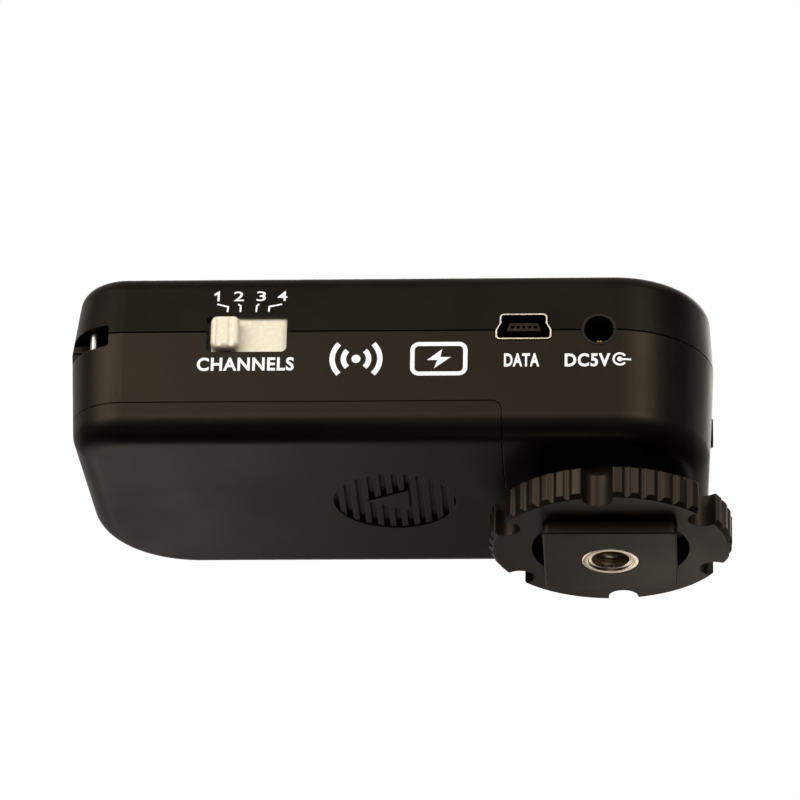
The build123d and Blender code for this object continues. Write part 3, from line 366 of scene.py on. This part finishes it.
# everything here is in millimetres; the print is placed from the middles of the parts that it labels, and the seam
SWITCH_X, DATA_X, POWER_X = middle_x("channel_switch_body"), middle_x("usb_shell"), middle_x("dc_jack_body")
WAVES_X, FLASH_X = SWITCH_X + 15.25, DATA_X - 11.65
SHELL_TONGUE = 1.0  # how far the lower shell's tongue stands over the seam
FRONT_Y, SEAM_Z = shell_low.y / MM, shell_high.z / MM - SHELL_TONGUE
CORNER_X, CORNER_R = 0.77, 14.0  # where the right-hand corner starts, and its radius at the seam
LOWER_SLOPE, UPPER_SLOPE = 0.55 / 15.7, 0.69 / 9.47  # how the wall draws in below and above the seam
INK_LIFT, INK_SINK = 0.03, 0.01  # how far the ink's two faces are before and behind the wall
SHARPEST_MITRE = 0.35  # cosine of half a bend at which a stroke's corner stops growing
NUMBER_BOLD, SWITCH_BOLD, SOCKET_BOLD = 0.007, 0.028, 0.032  # added around each letter, in parts of the font's size


def wall_y(x, z):
    """Depth of the front wall's outside at x, and z over the seam."""
    inset = -z * LOWER_SLOPE if z < 0 else z * UPPER_SLOPE
    if x <= CORNER_X:
        return FRONT_Y + inset
    return FRONT_Y + CORNER_R - math.sqrt((CORNER_R - inset) ** 2 - (x - CORNER_X) ** 2)


def print_piece(name, origin_x, patches):
    """White ink, wrapped on the wall and given a rim.

    A patch is ([(x, z), ...], [corner numbers, ...]), with x from origin_x and z from the seam.
    """
    bm = bmesh.new()
    for points, faces in patches:
        placed = [(x + origin_x, wall_y(x + origin_x, z), z + SEAM_Z) for x, z in points]
        front = [bm.verts.new((x * MM, (y - INK_LIFT) * MM, z * MM)) for x, y, z in placed]
        back = [bm.verts.new((x * MM, (y + INK_SINK) * MM, z * MM)) for x, y, z in placed]
        edges = {}
        for corners in faces:
            bm.faces.new([front[i] for i in corners])
            bm.faces.new([back[i] for i in reversed(corners)])
            for edge in zip(corners, corners[1:] + corners[:1]):
                edges[edge] = True
        for a, b in edges:
            if (b, a) not in edges:
                bm.faces.new((front[b], front[a], back[a], back[b]))
    bmesh.ops.recalc_face_normals(bm, faces=bm.faces)
    link_mesh(name, bm, "ink_white", "housing", smooth=False)


def link_mesh(name, bm, slot, body, smooth=True):
    """Turn a bmesh, which this uses up, into a finished piece that rides on a body."""
    mesh = bpy.data.meshes.new(name)
    bm.to_mesh(mesh)
    bm.free()
    for polygon in mesh.polygons:
        polygon.use_smooth = smooth
    obj = bpy.data.objects.new(name, mesh)
    bpy.context.scene.collection.objects.link(obj)
    paint(obj, slot)
    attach(obj, body)
    return obj


def stroke(points, width, closed=False):
    """A line of even width as one patch, with mitred corners."""
    count = len(points)
    left, right = [], []
    for i, (x, z) in enumerate(points):
        before = points[i - 1] if i or closed else None
        after = points[(i + 1) % count] if i + 1 < count or closed else None
        directions = []
        if before is not None:
            directions.append(Vector((x - before[0], z - before[1])).normalized())
        if after is not None:
            directions.append(Vector((after[0] - x, after[1] - z)).normalized())
        along = (directions[0] + directions[-1]).normalized()
        side = Vector((-along.y, along.x))
        reach = width / 2 / max(SHARPEST_MITRE, side.dot(Vector((-directions[0].y, directions[0].x))))
        left.append((x + side.x * reach, z + side.y * reach))
        right.append((x - side.x * reach, z - side.y * reach))
    faces = []
    for i in range(count if closed else count - 1):
        j = (i + 1) % count
        faces.append([i, j, count + j, count + i])
    return left + right, faces


def turns(start, end, steps):
    """Angles in radians from start to end, which are in degrees."""
    return [math.radians(start + (end - start) * i / steps) for i in range(steps + 1)]


def arc(x, z, radius, start, end, steps=24):
    return [(x + radius * math.cos(a), z + radius * math.sin(a)) for a in turns(start, end, steps)]


def disc(x, z, radius, steps=24):
    return arc(x, z, radius, 0, 360, steps)[:-1], [list(range(steps))]


def lettering(text, x, z, bold, spacing=1.0):
    """Text stretched to fill the spans x and z, as one patch in a list; spacing widens the letters' pitch."""
    curve = bpy.data.curves.new(text, "FONT")
    curve.body = text
    curve.offset = bold
    curve.space_character = spacing
    curve.resolution_u = 4
    holder = bpy.data.objects.new(text, curve)
    bpy.context.scene.collection.objects.link(holder)
    bpy.context.view_layer.update()
    mesh = bpy.data.meshes.new_from_object(holder.evaluated_get(bpy.context.evaluated_depsgraph_get()))
    bpy.data.objects.remove(holder)
    bpy.data.curves.remove(curve)
    bm = bmesh.new()
    bm.from_mesh(mesh)
    bpy.data.meshes.remove(mesh)
    bmesh.ops.remove_doubles(bm, verts=bm.verts, dist=1e-5)
    bm.verts.index_update()
    low_x, high_x = min(v.co.x for v in bm.verts), max(v.co.x for v in bm.verts)
    low_y, high_y = min(v.co.y for v in bm.verts), max(v.co.y for v in bm.verts)
    across, rise = (x[1] - x[0]) / (high_x - low_x), (z[1] - z[0]) / (high_y - low_y)
    points = [(x[0] + (v.co.x - low_x) * across, z[0] + (v.co.y - low_y) * rise) for v in bm.verts]
    faces = []
    for face in bm.faces:
        corners = [v.index for v in face.verts]
        faces.append(corners if face.normal.z > 0 else corners[::-1])
    bm.free()
    return [(points, faces)]


def print_channel_scale():
    """The switch's name under it, and over it the numbers 1 to 4 with lines to where the knob stops."""
    number_z = (5.06, 6.63)
    line_w, one_w = 0.24, 0.3
    print_piece("print_channels", SWITCH_X, lettering("CHANNELS", (-6.77, 6.67), (-5.92, -3.87), SWITCH_BOLD, 1.09))
    one = [(-4.71, 6.08), (-4.13, 6.48), (-4.13, number_z[0])]
    print_piece("print_number_1", SWITCH_X, [stroke(one, one_w)])
    for number, centre, width in ((2, -1.28, 1.42), (3, 1.83, 1.30), (4, 4.78, 1.34)):
        span = (centre - width / 2, centre + width / 2)
        print_piece(f"print_number_{number}", SWITCH_X, lettering(str(number), span, number_z, NUMBER_BOLD))
    ticks = [
        [(-4.28, 4.58), (-2.74, 4.14), (-2.81, 3.31)],
        [(-1.34, 4.56), (-1.00, 4.29), (-1.00, 3.30)],
        [(1.56, 4.56), (1.26, 4.24), (1.20, 3.28)],
        [(4.76, 4.51), (3.01, 4.14), (2.94, 3.32)],
    ]
    print_piece("print_ticks", SWITCH_X, [stroke(line, line_w) for line in ticks])


def print_radio_symbol():
    """A dot with two waves on each side."""
    z, dot_r, wave_w = -4.2, 0.62, 0.74
    waves = [disc(0, z, dot_r)]
    for radius, half_angle in ((1.75, 46), (3.3, 44)):
        for middle in (0, 180):
            waves.append(stroke(arc(0, z, radius, middle - half_angle, middle + half_angle), wave_w))
    print_piece("print_radio_symbol", WAVES_X, waves)


def print_flash_symbol():
    """A lightning bolt in a frame with round corners."""
    half_w, low_z, high_z, corner_r, line_w = 3.65, -6.5, -2.0, 0.9, 0.6
    outline = []
    for x, z, start in ((1, high_z, 0), (-1, high_z, 90), (-1, low_z, 180), (1, low_z, 270)):
        inward = -corner_r if z == high_z else corner_r
        outline += arc(x * (half_w - corner_r), z + inward, corner_r, start, start + 90, 6)
    bolt = [(0.45, -2.8), (-1.65, -4.45), (-0.2, -4.45), (-0.65, -5.7), (1.65, -4.0), (0.2, -4.0)]
    patches = [stroke(outline, line_w, closed=True), (bolt, [list(range(len(bolt)))])]
    print_piece("print_flash_symbol", FLASH_X, patches)


def print_socket_names():
    """The names of the two sockets, and the sign for a positive centre pin."""
    print_piece("print_data", DATA_X, lettering("DATA", (-2.66, 2.21), (-5.51, -3.49), SOCKET_BOLD, 1.09))
    print_piece("print_volts", POWER_X, lettering("DC5V", (-4.69, 1.60), (-5.58, -3.55), SOCKET_BOLD, 1.12))
    x, z, tail_x = 2.9, -4.44, 4.45
    cup_r, cup_w, pin_r, tail_w = 0.86, 0.3, 0.38, 0.28
    cup = stroke(arc(x, z, cup_r, 35, 325), cup_w)
    tail = stroke([(x, z), (tail_x, z)], tail_w)
    print_piece("print_polarity", POWER_X, [cup, disc(x, z, pin_r, 16), tail])


print_channel_scale()
print_radio_symbol()
print_flash_symbol()
print_socket_names()


# ------------------------------------------------------------------ threaded insert
# all lengths are in millimetres
PITCH = INCH / 20
MINOR_R, MAJOR_R = 2.6, 3.17
COLLAR_R, COLLAR_T, BODY_R = 4.05, 0.7, 3.7
# the mouth's section from the bore outwards as (radius, height): first turn, groove, flat lip, round outer edge
MOUTH = [
    (2.60, 0.34), (2.66, 0.27), (2.75, 0.24), (3.00, 0.24), (3.06, 0.20), (3.10, 0.08),
    (3.18, 0.015), (3.30, 0.0), (3.85, 0.0), (3.97, 0.04), (4.05, 0.16),
]
FLANK, CREST_FLAT = 2.6, 0.15  # how steep the thread's sides are, and how much the flat at the bore takes off them
LEAD_IN = 0.4  # turns before the thread starts to be cut
THREAD_START_Z = 0.4
AROUND, ROWS_PER_TURN = 64, 14  # how finely the insert is divided


def thread_r(angle, z):
    """Radius of the quarter-inch thread, cut in gradually from the mouth."""
    phase = (z / PITCH - angle / (2 * math.pi) - 0.5) % 1.0
    groove = max(0.0, min(1.0, (0.5 - abs(phase - 0.5)) * FLANK - CREST_FLAT))
    depth = max(0.0, min(1.0, z / PITCH - LEAD_IN))
    return MINOR_R + (MAJOR_R - MINOR_R) * groove * depth


def threaded_insert():
    """Collar and quarter-inch internal thread, in place of the plain bore."""
    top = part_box("tripod_insert")[1].z / MM
    angles = turns(0, 360, AROUND)[:-1]
    bm = bmesh.new()

    def ring(radii, z):
        return [
            bm.verts.new((radius * math.cos(a) * MM, radius * math.sin(a) * MM, z * MM))
            for radius, a in zip(radii, angles)
        ]

    outline = MOUTH + [(COLLAR_R, COLLAR_T), (BODY_R, COLLAR_T), (BODY_R, top), (MAJOR_R, top)]
    loops = [ring([radius] * AROUND, z) for radius, z in outline]
    rows = int(top / PITCH * ROWS_PER_TURN)
    for row in range(rows, -1, -1):
        z = max(top * row / rows, THREAD_START_Z)
        loops.append(ring([thread_r(a, z) for a in angles], z))
    for loop, after in zip(loops, loops[1:] + loops[:1]):
        for i in range(AROUND):
            j = (i + 1) % AROUND
            bm.faces.new((loop[i], loop[j], after[j], after[i]))
    bmesh.ops.recalc_face_normals(bm, faces=bm.faces)
    piece = link_mesh("tripod_thread_insert", bm, "nickel", "housing")
    paint(piece, "insert_nickel")
    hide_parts("tripod_insert")


threaded_insert()


# ------------------------------------------------------------------ camera, light and floor
CAMERA_AT = Vector((0.013726, -0.716888, -0.339593))
CAMERA_FORWARD, CAMERA_RIGHT = Vector((-0.05413, 0.88983, 0.45307)), Vector((0.99852, 0.05083, 0.01946))
SENSOR_W, LENS = 36.0, 255.9  # millimetres
CLIP = 0.05, 20.0  # metres

TINT, UNDER_TINT = (1.0, 0.94, 0.88), (1.0, 0.90, 0.76)
HOUSING_AT, UNDER_FOOT, FOOT_AT = Vector((-0.030, 0.0, 0.018)), Vector((0.010, 0.0, 0.0)), Vector((0.0, 0.0, 0.0))
# name, azimuth and elevation in degrees, distance, width and height in metres, radiance, where it aims, colour
SOFTBOXES = [
    ("front_left", -30, 15, 0.45, (0.34, 0.17), 3.7, HOUSING_AT, TINT),
    ("front_right", 36, 16, 0.9, (0.20, 0.26), 9.0, HOUSING_AT, TINT),
    ("under_left", 212, -37, 0.30, (0.22, 0.16), 1.45, HOUSING_AT, TINT),
    ("under_right", 176, -27, 0.16, (0.045, 0.05), 1.7, UNDER_FOOT, UNDER_TINT),
    ("below", 0, -78, 0.14, (0.035, 0.035), 1.6, FOOT_AT, TINT),
    ("back", 170, 34, 1.1, (0.9, 0.5), 2.1, HOUSING_AT, TINT),
]

# the tent's brightness by elevation in degrees, in front of and behind the object, and by X across the front
FRONT_TENT = [(-90, 0.0), (-14, 0.0), (-5, 0.5), (4, 2.4), (22, 2.5), (30, 0.3), (42, 0.05), (90, 0.6)]
BACK_TENT = [(-90, 0.0), (-60, 0.0), (-40, 0.02), (-27, 0.05), (-14, 0.2), (10, 0.6), (45, 0.6), (90, 0.5)]
ACROSS = [
    (-1.0, 0.0), (-0.9, 0.05), (-0.82, 1.8), (-0.6, 1.6), (-0.4, 1.2), (-0.15, 0.8), (0.12, 0.6), (0.22, 0.85),
    (0.36, 1.75), (0.56, 1.6), (0.72, 0.1), (1.0, 0.05),
]
TENT_STRENGTH = 5.0
FRONT_END_Y, BACK_START_Y = 0.05, 0.5  # directions between these blend the front tent into the back one


def camera():
    data = bpy.data.cameras.new("camera")
    data.sensor_width = SENSOR_W
    data.lens = LENS
    data.clip_start, data.clip_end = CLIP
    obj = bpy.data.objects.new("camera", data)
    bpy.context.scene.collection.objects.link(obj)
    forward = CAMERA_FORWARD.normalized()
    right = (CAMERA_RIGHT - forward * CAMERA_RIGHT.dot(forward)).normalized()
    turn = Matrix((right, right.cross(forward), -forward)).transposed()
    obj.matrix_world = Matrix.Translation(CAMERA_AT) @ turn.to_4x4()
    bpy.context.scene.camera = obj


def softbox(name, azimuth, elevation, distance, size, radiance, target, tint):
    """A rectangular light aimed at target from that bearing; azimuth 0 is in front and 90 at +X."""
    data = bpy.data.lights.new(name, "AREA")
    data.shape = "RECTANGLE"
    data.size, data.size_y = size
    data.energy = radiance * math.pi * size[0] * size[1]
    data.color = tint
    obj = bpy.data.objects.new(name, data)
    bpy.context.scene.collection.objects.link(obj)
    a, e = math.radians(azimuth), math.radians(elevation)
    away = Vector((math.sin(a) * math.cos(e), -math.cos(a) * math.cos(e), math.sin(e)))
    obj.location = target + away * distance
    obj.rotation_mode = "QUATERNION"
    obj.rotation_quaternion = away.to_track_quat("Z", "Y")


def world():
    """Pure white behind the object; what lights it is a tent, bright in front and dim below."""
    made = bpy.data.worlds.new("studio")
    bpy.context.scene.world = made
    made.use_nodes = True
    tree = made.node_tree
    tree.nodes.clear()
    node, link = tree.nodes.new, tree.links.new
    split = node("ShaderNodeSeparateXYZ")
    link(node("ShaderNodeTexCoord").outputs["Generated"], split.inputs[0])

    def share(axis, start, end):
        """How far the direction's part along that axis is from start to end, 0 to 1."""
        spread = node("ShaderNodeMapRange")
        spread.inputs["From Min"].default_value, spread.inputs["From Max"].default_value = start, end
        link(split.outputs[axis], spread.inputs["Value"])
        return spread

    def ramp(fac, stops):
        made_ramp = node("ShaderNodeValToRGB")
        fill_ramp(made_ramp, stops)
        link(fac, made_ramp.inputs["Fac"])
        return made_ramp.outputs["Color"]

    def mix(fac, a, b, blend="MIX"):
        mixed = node("ShaderNodeMix")
        mixed.data_type, mixed.blend_type = "RGBA", blend
        if fac is None:
            mixed.inputs["Factor"].default_value = 1.0
        else:
            link(fac, mixed.inputs["Factor"])
        link(a, mixed.inputs["A"])
        link(b, mixed.inputs["B"])
        return mixed.outputs["Result"]

    def by_elevation(stops):
        return [
            ((math.sin(math.radians(degrees)) + 1) / 2, tuple(level / TENT_STRENGTH * c for c in TINT))
            for degrees, level in stops
        ]

    height = share("Z", -1.0, 1.0).outputs["Result"]
    behind = share("Y", FRONT_END_Y, BACK_START_Y)
    behind.interpolation_type = "SMOOTHSTEP"
    across = ramp(share("X", -1.0, 1.0).outputs["Result"], [((x + 1) / 2, (level,) * 3) for x, level in ACROSS])
    front = mix(None, ramp(height, by_elevation(FRONT_TENT)), across, "MULTIPLY")
    tent = mix(behind.outputs["Result"], front, ramp(height, by_elevation(BACK_TENT)))
    lit = node("ShaderNodeBackground")
    lit.inputs["Strength"].default_value = TENT_STRENGTH
    link(tent, lit.inputs["Color"])
    seen = node("ShaderNodeBackground")
    seen.inputs["Color"].default_value = (1.0, 1.0, 1.0, 1.0)
    both = node("ShaderNodeMixShader")
    link(node("ShaderNodeLightPath").outputs["Is Camera Ray"], both.inputs["Fac"])
    link(lit.outputs[0], both.inputs[1])
    link(seen.outputs[0], both.inputs[2])
    link(both.outputs[0], node("ShaderNodeOutputWorld").inputs["Surface"])


def floor():
    """Pale floor just under the foot, clear from below; it takes shadows but sends no light to the object."""
    half, z = 2.5, -0.0002
    bm = bmesh.new()
    corners = ((-half, -half, z), (half, -half, z), (half, half, z), (-half, half, z))
    bm.faces.new([bm.verts.new(corner) for corner in corners])
    mesh = bpy.data.meshes.new("floor")
    bm.to_mesh(mesh)
    bm.free()
    obj = bpy.data.objects.new("floor", mesh)
    bpy.context.scene.collection.objects.link(obj)
    t = Tree("floor_finish")
    cloud = t.noise(3.0, 3.0)
    t.link(t.ramp(cloud, [(0.3, (0.80, 0.80, 0.79)), (0.7, (0.84, 0.84, 0.83))]), t.shader.inputs["Base Color"])
    t.set(Roughness=0.9, Specular_IOR_Level=0.0)
    sides = t.node("ShaderNodeMixShader")
    t.link(t.node("ShaderNodeNewGeometry").outputs["Backfacing"], sides.inputs["Fac"])
    t.link(t.shader.outputs["BSDF"], sides.inputs[1])
    t.link(t.node("ShaderNodeBsdfTransparent").outputs["BSDF"], sides.inputs[2])
    t.link(sides.outputs["Shader"], t.output.inputs["Surface"])
    obj.data.materials.append(t.material)
    obj.visible_diffuse = False
    obj.visible_glossy = False
    obj.visible_transmission = False
    obj.visible_shadow = False


camera()
for light in SOFTBOXES:
    softbox(*light)
world()
floor()
bpy.context.scene.view_settings.view_transform = "Standard"
